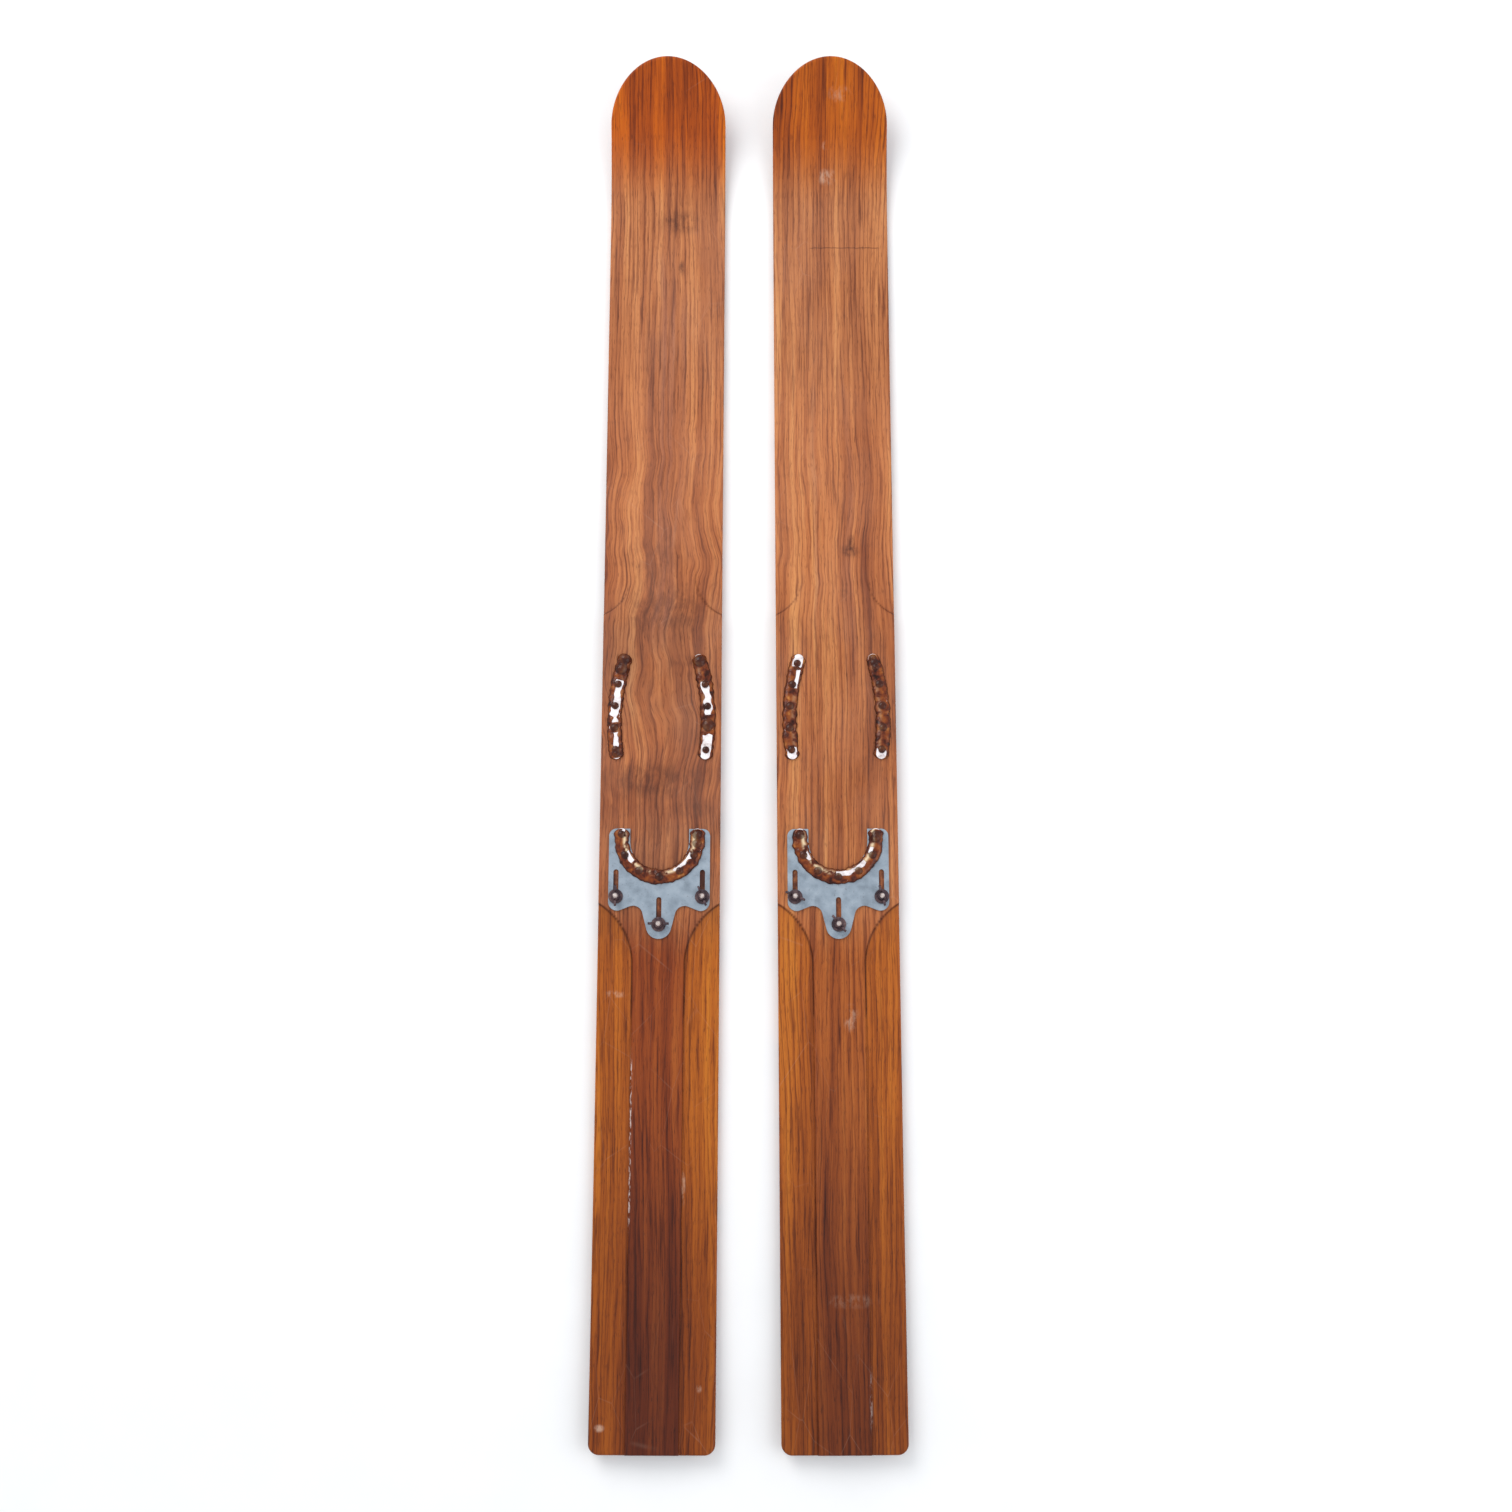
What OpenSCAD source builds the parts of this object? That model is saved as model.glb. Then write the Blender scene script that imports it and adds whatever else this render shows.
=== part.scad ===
// Pair of wooden water skis with toe strips and adjustable heel plates.
// The skis lie on their bases, tops up, tips toward +Y, the left ski at -X.
// The origin is the bottom centre of the pair.

/* [Pair] */
// Part to draw
// Distance between the ski centre lines at mid length
ski_spacing = 219.5; // [180:0.5:400]
// Angle that brings the tips together, per ski
toe_in = 0.27; // [0:0.01:2]

/* [Board] */
// Length of a ski, measured along the floor
ski_length = 1751; // [1200:1:2000]
// Width of a ski
ski_width = 150; // [110:1:190]
// Thickness under the bindings
platform_h = 16; // [12:0.5:24]
// Height of the side lands at mid length
land_h = 13; // [8:0.5:18]
// Thickness of the upturned tip
tip_h = 10; // [6:0.5:14]
// Width of the raised rib behind the binding
rib_w = 63; // [30:1:110]
// Width of the raised centre in front of the binding
front_rib_w = 80; // [40:1:120]
// Distance from mid length to where the tip starts to rise
bend_y = 661.5; // [500:0.5:750]
// Radius of the base at the tip
bend_r = 362; // [250:1:600]
// Corner radius of the tail
tail_r = 13; // [4:1:40]

/* [Tail] */
// Distance from mid length to where the tail starts to rise
rocker_y = -450; // [-600:1:-350]
// Rise of the base at the tail
rocker_rise = 14; // [13:0.5:25]
// Rise of the top at the tail
top_rise = 11; // [6:0.5:22]
// Length of the keel
keel_l = 230; // [120:1:260]
// Width of the keel
keel_w = 9; // [8:0.5:14]
// Gap between the keel and the floor
keel_gap = 0.6; // [0.2:0.1:4]
// Distance from the tail to the keel
keel_inset = 14; // [5:1:60]
// Spacing of the keel screws
keel_pitch = 68; // [40:1:80]

/* [Platform] */
// Distance from mid length to the rear corners of the platform
rear_edge_y = -223; // [-300:0.5:-150]
// Distance from mid length to where the rear flares meet the rib
rear_rib_y = -299.4; // [-380:0.1:-260]
// Distance from mid length to the front corners of the platform
front_edge_y = 143; // [100:0.5:200]
// Distance from mid length to where the front flares meet the raised centre
front_rib_y = 196; // [160:0.5:260]
// Start of the slope that fades the raised centre
fade_start_y = 130; // [100:0.5:180]
// End of the slope that fades the raised centre
fade_end_y = 222; // [200:0.5:300]

/* [Toe strips] */
// Radius of the strip centre line
toe_r = 280; // [150:1:500]
// Widest half spacing of the strip centre lines
toe_half = 58.6; // [40:0.1:66]
// Distance from mid length to the widest point
toe_y = 4.9; // [-60:0.1:60]
// Angle from the widest point to the front end
toe_front = 17.93; // [5:0.01:30]
// Angle from the widest point to the rear end
toe_rear = 9.83; // [2:0.01:20]
// Width of the metal strips
strip_w = 12.5; // [8:0.1:20]
// Thickness of the metal strips
strip_t = 2; // [1:0.1:4]
// Width of the perished rubber
rubber_w = 18.5; // [14:0.1:26]
// Thickness of the rubber under a strip
rubber_t = 1.2; // [0.8:0.1:4]
// Height of the rubber beside a strip
rubber_h = 3; // [1:0.1:5]
// Screws per toe strip
toe_screws = 5; // [2:1:8]
// Spacing of the toe screws
toe_pitch = 28; // [15:0.5:40]

/* [Heel plate] */
// Distance from mid length to the front of the plate
plate_y = -131; // [-200:0.5:-80]
// Width of the plate
plate_w = 125.2; // [100:0.1:140]
// Length of the plate
plate_l = 136.6; // [110:0.1:180]
// Thickness of the plate
plate_t = 2.5; // [1.5:0.1:4]
// Running gap between stacked sliding pieces
slide_gap = 0.1; // [0.05:0.01:0.3]
// Half width of the cut-out for the heel
heel_r = 36.5; // [25:0.5:45]
// Depth of the cut-out for the heel
heel_depth = 52; // [40:0.5:70]
// Radius of the outer front corners
prong_r = 9; // [4:0.5:12]
// Radius of the rear side lobes
lobe_r = 11; // [6:0.5:16]
// Length of the plate at the side lobes
lobe_l = 102; // [90:0.5:110]
// Radius of the notches beside the tongue
notch_r = 12; // [6:0.5:18]
// Length of the plate at the notches
notch_l = 95.8; // [85:0.1:105]
// Half spacing of the notches
notch_x = 31.8; // [25:0.1:40]
// Radius of the rear end of the tongue
tongue_r = 15.5; // [10:0.5:22]
// Width of the slots
slot_w = 6.5; // [5:0.1:9]
// Travel that the slots allow
slot_travel = 30.5; // [10:0.5:40]

/* [Heel strip] */
// Radius of the horseshoe centre line
shoe_r = 47; // [35:0.5:60]
// Length of the straight legs
shoe_leg = 13; // [0:0.5:30]
// Rivets per horseshoe
rivet_count = 7; // [3:2:11]
// Spacing of the rivets
rivet_pitch = 26.5; // [15:0.5:40]

/* [Fasteners] */
// Diameter of the studs
stud_d = 6; // [4:0.5:8]
// Half spacing of the side studs
stud_x = 53.4; // [40:0.1:60]
// Distance from the plate front to the side studs
stud_side = 84.5; // [60:0.1:95]
// Distance from the plate front to the rear stud
stud_rear = 118.8; // [100:0.1:130]
// Height of the stud tips above the floor
stud_top = 31; // [28:0.5:45]
// Diameter of the washers
washer_d = 18; // [12:0.5:24]
// Thickness of the washers
washer_t = 1.5; // [1:0.1:3]
// Height of the wing nut hub
hub_h = 7; // [5:0.5:12]
// Diameter of the wing nut hub at the bottom
hub_d = 11; // [9:0.5:16]
// Span over the wings
wing_span = 26; // [18:0.5:34]
// Height of the wings above the nut base
wing_h = 12; // [9:0.5:18]
// Thickness of the wings
wing_t = 2.6; // [1.5:0.1:4]
// Wing angles on the left ski: outer, inner, rear
left_wings = [90, -67, 0];
// Wing angles on the right ski: outer, inner, rear
right_wings = [-75, -24, -51];

/* [Hidden] */
$fn = 64;

left = -1;
right = 1;
half_l = ski_length / 2;
half_w = ski_width / 2;
high = 200;
fine = 1440;
overcut = 2;

// Arc sizes that follow from the outline of the board
tip_y = half_l - half_w;
tail_run = half_l + rocker_y;
base_r = (tail_run ^ 2 + rocker_rise ^ 2) / (2 * rocker_rise);
top_r = (tail_run ^ 2 + top_rise ^ 2) / (2 * top_rise);
centring = (half_w - tail_r) * sin(toe_in) / 2;
shoe_half = shoe_r * PI / 2;
cap_angle = strip_w / 2 / toe_r * 180 / PI;

// Heights of the binding pieces above the floor
strip_z = platform_h + rubber_t;
plate_z = platform_h + slide_gap;
plate_top = plate_z + plate_t;
shoe_z = plate_top + rubber_t;
washer_z = plate_top + slide_gap;
nut_z = washer_z + washer_t + slide_gap;

// Screws and studs
fit = 0.05;
screw_d = 4;
screw_head_d = 8;
screw_head_h = 3;
screw_depth = 11;
driver_slot = 1;
rivet_d = 4;
rivet_head_d = 7;
rivet_head_h = 2;
flush_gap = 0.3;
stud_head_h = 3;
stud_chamfer = 0.8;
keel_head_d = 7;
keel_head_h = 1.5;
keel_reach = 8;
keel_rear_y = -half_l + keel_inset;
keel_nose = 18;
keel_heel = 6;
keel_steps = 16;
keel_screw_y = [for (i = [0:2]) keel_rear_y + keel_inset + i * keel_pitch];

// Sides of the pair and places of the studs
outer = 1;
inner = -1;
rear = 0;
wing_tip_r = 3.6;
hub_taper = 2;
washer_play = 0.4;

// Corners of the heel plate, seen from above with its front at y = 0
lobe = [plate_w / 2 - lobe_r, lobe_r - lobe_l];
notch = [notch_x, -notch_l - notch_r];
tongue = [0, tongue_r - plate_l];
lobe_dir = cross_dir(lobe, lobe_r, notch, notch_r, 1);
tongue_dir = cross_dir(tongue, tongue_r, notch, notch_r, -1);

// ---------- shared shapes ----------

// Point at an angle on a circle
function on_circle(c, r, angle) = c + r * [cos(angle), sin(angle)];

// Angle at which a line leaves circle a and touches circle b on its other side
function cross_dir(a, ra, b, rb, turn) =
    atan2(b.y - a.y, b.x - a.x) + turn * acos((ra + rb) / norm(b - a));

// Height of the top in front of the platform
function front_top(y) = land_h + (y - fade_start_y) * (tip_h - land_h) / (bend_y - fade_start_y);

// Height of the base above the floor behind the start of the tail rise
function base_z(y) = base_r - sqrt(base_r ^ 2 - (y - rocker_y) ^ 2);

function stud_xy(side, spot) =
    spot == rear ? [0, plate_y - stud_rear] : [side * spot * stud_x, plate_y - stud_side];

function toe_angle(i) =
    (toe_front - toe_rear) / 2 + (i - (toe_screws - 1) / 2) * toe_pitch / toe_r * 180 / PI;

function rivet_xy(s) =
    abs(s) < shoe_half
    ? on_circle([0, -shoe_leg], shoe_r, -90 + s / shoe_r * 180 / PI)
    : [sign(s) * shoe_r, abs(s) - shoe_half - shoe_leg];

module place(side) {
    translate([side * ski_spacing / 2, centring, 0])
        rotate([0, 0, side * toe_in])
            children();
}

module lengthwise(width) {
    rotate([90, 0, 90])
        linear_extrude(width, center = true)
            children();
}

// Round head or rivet head, a spherical cap on z = 0
module cap(d, h) {
    r = (d ^ 2 / 4 + h ^ 2) / (2 * h);
    rotate_extrude()
        intersection() {
            translate([0, h - r])
                circle(r);
            square([d / 2, h]);
        }
}

// ---------- board ----------

module tip_outline() {
    intersection() {
        translate([0, tip_y])
            circle(half_w, $fn = fine);
        translate([-half_w, tip_y])
            square([ski_width, half_w]);
    }
}

module outline() {
    translate([-half_w, -half_l + tail_r])
        square([ski_width, ski_length - tail_r - half_w]);
    translate([-half_w + tail_r, -half_l])
        square([ski_width - 2 * tail_r, 2 * tail_r]);
    for (x = [-1, 1])
        translate([x * (half_w - tail_r), -half_l + tail_r])
            circle(tail_r);
    tip_outline();
}

// Plan of a flare that leaves the side edge at edge_y and meets the rib side at rib_y
module flare(rib_half, edge_y, rib_y) {
    step = half_w - rib_half;
    r = (step ^ 2 + (rib_y - edge_y) ^ 2) / (2 * step);
    intersection() {
        translate([rib_half + r, rib_y])
            circle(r, $fn = fine);
        translate([rib_half, rib_y > edge_y ? edge_y - overcut : rib_y])
            square([step + overcut, abs(rib_y - edge_y) + overcut]);
    }
}

// Plan of the lower lands on one side of the raised platform and rib
module land_plan() {
    translate([rib_w / 2, -half_l - overcut])
        square([half_w, half_l + overcut + rear_rib_y]);
    flare(rib_w / 2, rear_edge_y, rear_rib_y);
    flare(front_rib_w / 2, front_edge_y, front_rib_y);
    translate([front_rib_w / 2, front_rib_y])
        square([half_w, fade_end_y - front_rib_y]);
}

// Side view of the space above the lands
module above_lands() {
    intersection() {
        translate([rocker_y, land_h + top_r])
            circle(top_r, $fn = fine);
        translate([-half_l - overcut, 0])
            square([tail_run + overcut, high]);
    }
    polygon([
        [rocker_y, land_h],
        [fade_start_y, land_h],
        [fade_end_y, front_top(fade_end_y)],
        [fade_end_y, high],
        [rocker_y, high],
    ]);
}

// Side view of the board along its centre line
module side_view() {
    difference() {
        intersection() {
            translate([-half_l, -overcut])
                square([tail_run, high]);
            translate([rocker_y, base_r])
                circle(base_r, $fn = fine);
        }
        translate([rocker_y, platform_h + top_r])
            circle(top_r, $fn = fine);
        translate([-half_l, platform_h + rocker_rise])
            square([tail_run, high]);
    }
    polygon([
        [rocker_y, 0],
        [bend_y, 0],
        [bend_y, tip_h],
        [fade_end_y, front_top(fade_end_y)],
        [fade_start_y, platform_h],
        [rocker_y, platform_h],
    ]);
    intersection() {
        translate([bend_y, bend_r])
            difference() {
                circle(bend_r, $fn = fine);
                circle(bend_r - tip_h, $fn = fine);
            }
        translate([bend_y, 0])
            square([half_l - bend_y, high]);
    }
}

module board_blank() {
    difference() {
        intersection() {
            linear_extrude(high)
                outline();
            lengthwise(ski_width + 2 * overcut)
                side_view();
        }
        for (side = [0, 1])
            mirror([side, 0, 0])
                intersection() {
                    linear_extrude(high)
                        land_plan();
                    lengthwise(2 * ski_width)
                        above_lands();
                }
    }
}

// Hole and countersink for one stud
module stud_hole() {
    translate([0, 0, -1])
        cylinder(h = high, d = stud_d + 2 * fit);
    cylinder(
        h = stud_head_h + flush_gap,
        d1 = 2 * (stud_d + flush_gap + fit),
        d2 = stud_d + 2 * fit
    );
}

module board() {
    color("sienna")
        difference() {
            board_blank();
            for (x = [-1, 1])
                at_toe_screws(x)
                    translate([0, 0, platform_h - screw_depth])
                        cylinder(h = high, d = screw_d);
            for (spot = [outer, inner, rear])
                translate(stud_xy(right, spot))
                    stud_hole();
            at_keel_screws()
                keel_shank();
        }
}

// ---------- keel ----------

module at_keel_screws() {
    for (y = keel_screw_y)
        translate([0, y, 0]) {
            $rise = base_z(y);
            children();
        }
}

module keel_shank() {
    translate([0, 0, keel_gap])
        cylinder(h = $rise + keel_reach - keel_gap, d = screw_d);
}

module keel_screw_head() {
    translate([0, 0, keel_gap])
        cylinder(h = keel_head_h, d1 = keel_head_d, d2 = screw_d);
}

module keel() {
    color("saddlebrown")
        difference() {
            lengthwise(keel_w)
                polygon([
                    for (i = [0:keel_steps])
                        let (y = keel_rear_y + keel_l * i / keel_steps)
                            [y, base_z(y)],
                    [keel_rear_y + keel_l - keel_nose, keel_gap],
                    [keel_rear_y + keel_heel, keel_gap],
                ]);
            at_keel_screws() {
                keel_shank();
                keel_screw_head();
            }
        }
}

module keel_screws() {
    color("darkgoldenrod")
        at_keel_screws()
            difference() {
                union() {
                    keel_shank();
                    keel_screw_head();
                }
                cube([keel_head_d, driver_slot, 2 * (keel_gap + driver_slot / 2)], center = true);
            }
}

// ---------- toe strips ----------

module at_toe_screws(x) {
    for (i = [0:toe_screws - 1])
        translate([
            x * (toe_half - toe_r + toe_r * cos(toe_angle(i))),
            toe_y + toe_r * sin(toe_angle(i)),
            0
        ])
            children();
}

// Curved band along a toe strip, with round ends
module toe_band(x, width) {
    front = toe_front - cap_angle;
    back = cap_angle - toe_rear;
    mirror([x < 0 ? 1 : 0, 0])
        translate([toe_half - toe_r, toe_y]) {
            intersection() {
                difference() {
                    circle(toe_r + width / 2, $fn = fine);
                    circle(toe_r - width / 2, $fn = fine);
                }
                polygon([
                    [0, 0],
                    on_circle([0, 0], 2 * toe_r, back),
                    on_circle([0, 0], 2 * toe_r, front),
                ]);
            }
            for (angle = [front, back])
                translate(on_circle([0, 0], toe_r, angle))
                    circle(width / 2);
        }
}

module toe_strip(x) {
    color("gainsboro")
        difference() {
            translate([0, 0, strip_z])
                linear_extrude(strip_t)
                    toe_band(x, strip_w);
            at_toe_screws(x)
                cylinder(h = high, d = screw_d);
        }
}

module toe_rubber(x) {
    color("maroon")
        difference() {
            translate([0, 0, platform_h])
                linear_extrude(rubber_h)
                    toe_band(x, rubber_w);
            translate([0, 0, strip_z])
                linear_extrude(high)
                    toe_band(x, strip_w);
            at_toe_screws(x)
                cylinder(h = high, d = screw_d);
        }
}

module toe_screw_group(x) {
    head_z = strip_z + strip_t;
    color("dimgray")
        at_toe_screws(x)
            difference() {
                union() {
                    translate([0, 0, platform_h - screw_depth])
                        cylinder(h = head_z - platform_h + screw_depth, d = screw_d);
                    translate([0, 0, head_z])
                        cap(screw_head_d, screw_head_h);
                }
                translate([0, 0, head_z + screw_head_h])
                    cube([screw_head_d, driver_slot, 2 * driver_slot], center = true);
            }
}

// ---------- heel plate and horseshoe ----------

module slot(x, y) {
    translate([x - slot_w / 2, y])
        square([slot_w, slot_travel]);
    for (end = [0, slot_travel])
        translate([x, y + end])
            circle(slot_w / 2);
}

// Plate between the side lobes, the notches and the tongue
module plate_webs() {
    edge = [
        [lobe.x, lobe.y + lobe_r],
        lobe,
        on_circle(lobe, lobe_r, lobe_dir),
        on_circle(notch, -notch_r, lobe_dir),
        notch,
        on_circle(notch, -notch_r, tongue_dir),
        on_circle(tongue, tongue_r, tongue_dir),
    ];
    polygon([
        for (p = edge)
            [-p.x, p.y],
        for (i = [1:len(edge)])
            edge[len(edge) - i],
    ]);
}

module plate_outline() {
    translate([-plate_w / 2, lobe.y])
        square([plate_w, -lobe.y - prong_r]);
    translate([prong_r - plate_w / 2, -2 * prong_r])
        square([plate_w - 2 * prong_r, 2 * prong_r]);
    for (x = [-1, 1]) {
        translate([x * (plate_w / 2 - prong_r), -prong_r])
            circle(prong_r);
        translate([x * lobe.x, lobe.y])
            circle(lobe_r);
    }
    translate(tongue)
        circle(tongue_r);
    plate_webs();
}

module heel_plate() {
    color("lightslategray")
        translate([0, plate_y, plate_z])
            difference() {
                linear_extrude(plate_t)
                    difference() {
                        plate_outline();
                        translate([0, heel_r - heel_depth])
                            circle(heel_r);
                        translate([-heel_r, heel_r - heel_depth])
                            square([2 * heel_r, heel_depth]);
                        for (x = [-1, 1])
                            translate([x * notch.x, notch.y])
                                circle(notch_r);
                        slot(-stud_x, -stud_side);
                        slot(stud_x, -stud_side);
                        slot(0, -stud_rear);
                    }
                at_rivets()
                    cylinder(h = high, d = rivet_d, center = true);
            }
}

// Places the rivets, with the origin at the front of the plate
module at_rivets() {
    for (i = [0:rivet_count - 1])
        translate(rivet_xy((i - (rivet_count - 1) / 2) * rivet_pitch))
            children();
}

// Horseshoe band that opens toward the tip
module shoe_band(width) {
    translate([0, -shoe_leg])
        intersection() {
            difference() {
                circle(shoe_r + width / 2, $fn = fine);
                circle(shoe_r - width / 2, $fn = fine);
            }
            translate([-ski_width, -ski_width])
                square([2 * ski_width, ski_width]);
        }
    for (x = [-1, 1]) {
        translate([x * shoe_r - width / 2, -shoe_leg])
            square([width, shoe_leg - strip_w / 2]);
        translate([x * shoe_r, -strip_w / 2])
            circle(width / 2);
    }
}

module heel_strip() {
    color("gainsboro")
        translate([0, plate_y, 0])
            difference() {
                translate([0, 0, shoe_z])
                    linear_extrude(strip_t)
                        shoe_band(strip_w);
                at_rivets()
                    cylinder(h = high, d = rivet_d);
            }
}

module heel_rubber() {
    color("maroon")
        translate([0, plate_y, 0])
            difference() {
                translate([0, 0, plate_top])
                    linear_extrude(rubber_h)
                        shoe_band(rubber_w);
                translate([0, 0, shoe_z])
                    linear_extrude(high)
                        shoe_band(strip_w);
                at_rivets()
                    cylinder(h = high, d = rivet_d);
            }
}

module heel_rivets() {
    head_z = shoe_z + strip_t;
    color("dimgray")
        translate([0, plate_y, 0])
            at_rivets() {
                translate([0, 0, plate_z])
                    cylinder(h = head_z - plate_z, d = rivet_d);
                translate([0, 0, head_z])
                    cap(rivet_head_d, rivet_head_h);
            }
}

// ---------- studs, washers and wing nuts ----------

module stud() {
    difference() {
        union() {
            translate([0, 0, flush_gap])
                cylinder(h = stud_head_h, d1 = 2 * stud_d, d2 = stud_d);
            translate([0, 0, flush_gap])
                cylinder(h = stud_top - stud_chamfer - flush_gap, d = stud_d);
            translate([0, 0, stud_top - stud_chamfer])
                cylinder(h = stud_chamfer, d1 = stud_d, d2 = stud_d - 2 * stud_chamfer);
        }
        cube([3 * stud_d, driver_slot, 2 * (flush_gap + driver_slot)], center = true);
    }
}

module studs() {
    color("dimgray")
        for (spot = [outer, inner, rear])
            translate(stud_xy(right, spot))
                stud();
}

module washer(side, spot) {
    color("dimgray")
        translate(stud_xy(side, spot))
            translate([0, 0, washer_z])
                difference() {
                    cylinder(h = washer_t, d = washer_d);
                    cylinder(h = 3 * washer_t, d = stud_d + washer_play, center = true);
                }
}

module wing() {
    tip = [wing_span / 2 - wing_tip_r, wing_h - wing_tip_r];
    root = (stud_d + hub_d) / 4;
    rotate([90, 0, 0])
        linear_extrude(wing_t, center = true) {
            polygon([
                [root, wing_t / 2],
                on_circle(tip, wing_tip_r, -45),
                on_circle(tip, wing_tip_r, 135),
                [root, hub_h - wing_t / 2],
            ]);
            translate(tip)
                circle(wing_tip_r);
        }
}

module wing_nut(side, spot) {
    angles = side == left ? left_wings : right_wings;
    turn = spot == outer ? angles[0] : spot == inner ? angles[1] : angles[2];
    color("dimgray")
        translate(stud_xy(side, spot))
            translate([0, 0, nut_z])
                rotate([0, 0, turn])
                    difference() {
                        union() {
                            cylinder(h = hub_h, d1 = hub_d, d2 = hub_d - hub_taper);
                            wing();
                            mirror([1, 0, 0])
                                wing();
                        }
                        cylinder(h = 3 * hub_h, d = stud_d + 2 * fit, center = true);
                    }
}

// ---------- nodes ----------

place(left) board();  // left_board
place(left) keel();  // left_keel
place(left) keel_screws();  // left_keel_screws
place(left) toe_strip(-left);  // left_toe_strip_inner
place(left) toe_strip(left);  // left_toe_strip_outer
place(left) toe_rubber(-left);  // left_toe_rubber_inner
place(left) toe_rubber(left);  // left_toe_rubber_outer
place(left) toe_screw_group(-left);  // left_toe_screws_inner
place(left) toe_screw_group(left);  // left_toe_screws_outer
place(left) heel_plate();  // left_heel_plate
place(left) heel_rubber();  // left_heel_rubber
place(left) heel_strip();  // left_heel_strip
place(left) heel_rivets();  // left_heel_rivets
place(left) studs();  // left_studs
place(left) washer(left, inner);  // left_washer_inner
place(left) washer(left, outer);  // left_washer_outer
place(left) washer(left, rear);  // left_washer_rear
place(left) wing_nut(left, inner);  // left_wing_nut_inner
place(left) wing_nut(left, outer);  // left_wing_nut_outer
place(left) wing_nut(left, rear);  // left_wing_nut_rear

place(right) board();  // right_board
place(right) keel();  // right_keel
place(right) keel_screws();  // right_keel_screws
place(right) toe_strip(-right);  // right_toe_strip_inner
place(right) toe_strip(right);  // right_toe_strip_outer
place(right) toe_rubber(-right);  // right_toe_rubber_inner
place(right) toe_rubber(right);  // right_toe_rubber_outer
place(right) toe_screw_group(-right);  // right_toe_screws_inner
place(right) toe_screw_group(right);  // right_toe_screws_outer
place(right) heel_plate();  // right_heel_plate
place(right) heel_rubber();  // right_heel_rubber
place(right) heel_strip();  // right_heel_strip
place(right) heel_rivets();  // right_heel_rivets
place(right) studs();  // right_studs
place(right) washer(right, inner);  // right_washer_inner
place(right) washer(right, outer);  // right_washer_outer
place(right) washer(right, rear);  // right_washer_rear
place(right) wing_nut(right, inner);  // right_wing_nut_inner
place(right) wing_nut(right, outer);  // right_wing_nut_outer
place(right) wing_nut(right, rear);  // right_wing_nut_rear
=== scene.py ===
"""Looks for a pair of old wooden water skis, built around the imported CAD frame."""
import math

import bpy
import numpy as np
from mathutils import Matrix, Vector


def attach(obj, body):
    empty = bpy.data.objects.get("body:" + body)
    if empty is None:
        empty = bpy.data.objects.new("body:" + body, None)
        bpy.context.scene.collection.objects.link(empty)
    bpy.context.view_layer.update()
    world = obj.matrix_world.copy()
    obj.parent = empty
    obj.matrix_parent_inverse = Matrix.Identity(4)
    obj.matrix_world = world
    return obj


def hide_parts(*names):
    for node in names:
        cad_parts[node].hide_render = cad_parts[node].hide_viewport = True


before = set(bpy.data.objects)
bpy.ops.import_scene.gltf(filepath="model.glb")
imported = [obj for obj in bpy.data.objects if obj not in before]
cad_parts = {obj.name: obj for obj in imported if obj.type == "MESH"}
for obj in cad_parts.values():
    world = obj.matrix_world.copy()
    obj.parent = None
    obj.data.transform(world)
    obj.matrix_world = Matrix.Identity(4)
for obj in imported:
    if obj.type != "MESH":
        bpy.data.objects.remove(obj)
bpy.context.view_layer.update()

# ---------- sizes, in metres, named as in the part's source ----------

MM = 0.001
HALF_L, HALF_W = 875.5 * MM, 75 * MM
PLATFORM_H, LAND_H, TIP_H = 16 * MM, 13 * MM, 10 * MM
RIB_HALF, FRONT_RIB_HALF = 31.5 * MM, 40 * MM
BEND_Y, BEND_R = 661.5 * MM, 362 * MM
TAIL_R = 13 * MM
ROCKER_Y, ROCKER_RISE, TOP_RISE = -450 * MM, 14 * MM, 11 * MM
REAR_EDGE_Y, REAR_RIB_Y = -223 * MM, -299.4 * MM
FRONT_EDGE_Y, FRONT_RIB_Y = 143 * MM, 196 * MM
FADE_START_Y, FADE_END_Y = 130 * MM, 222 * MM
MIDDLE_Y = -50 * MM
TOE_R, TOE_HALF, TOE_Y = 280 * MM, 58.6 * MM, 4.9 * MM
TOE_FRONT, TOE_REAR = 17.93, -9.83
STRIP_T, RUBBER_W, RUBBER_T = 2 * MM, 18.5 * MM, 1.2 * MM
SCREW_GAP, RIVET_GAP = 28 * MM, 26.5 * MM
PLATE_Y, PLATE_TOP = -131 * MM, 18.6 * MM
SHOE_R, SHOE_LEG = 47 * MM, 13 * MM
STUD_R, STUD_TOP, STUD_SINK = 3 * MM, 31 * MM, 3.3 * MM
SIDE_STUD_X, SIDE_STUD_Y, REAR_STUD_Y = 53.4 * MM, -215.5 * MM, -249.8 * MM
SPACING, TOE_IN = 219.5 * MM, math.radians(0.27)
EDGE_R = 3 * MM
SIDES = {"left": -1, "right": 1}
STUDS_AT = ((SIDE_STUD_X, SIDE_STUD_Y), (-SIDE_STUD_X, SIDE_STUD_Y), (0.0, REAR_STUD_Y))


def ski_frame(side):
    """Where a ski stands: its own frame has x across, y along and z up."""
    centring = (HALF_W - TAIL_R) * math.sin(TOE_IN) / 2
    move = Matrix.Translation((side * SPACING / 2, centring, 0))
    return move @ Matrix.Rotation(side * TOE_IN, 4, "Z")


# ---------- camera and light ----------

def look_from(place, target, up):
    """Rotation of a camera or lamp at place that looks at target."""
    forward = (Vector(target) - Vector(place)).normalized()
    right = forward.cross(Vector(up)).normalized()
    upward = right.cross(forward)
    return Matrix((right, upward, -forward)).transposed().to_4x4()


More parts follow.
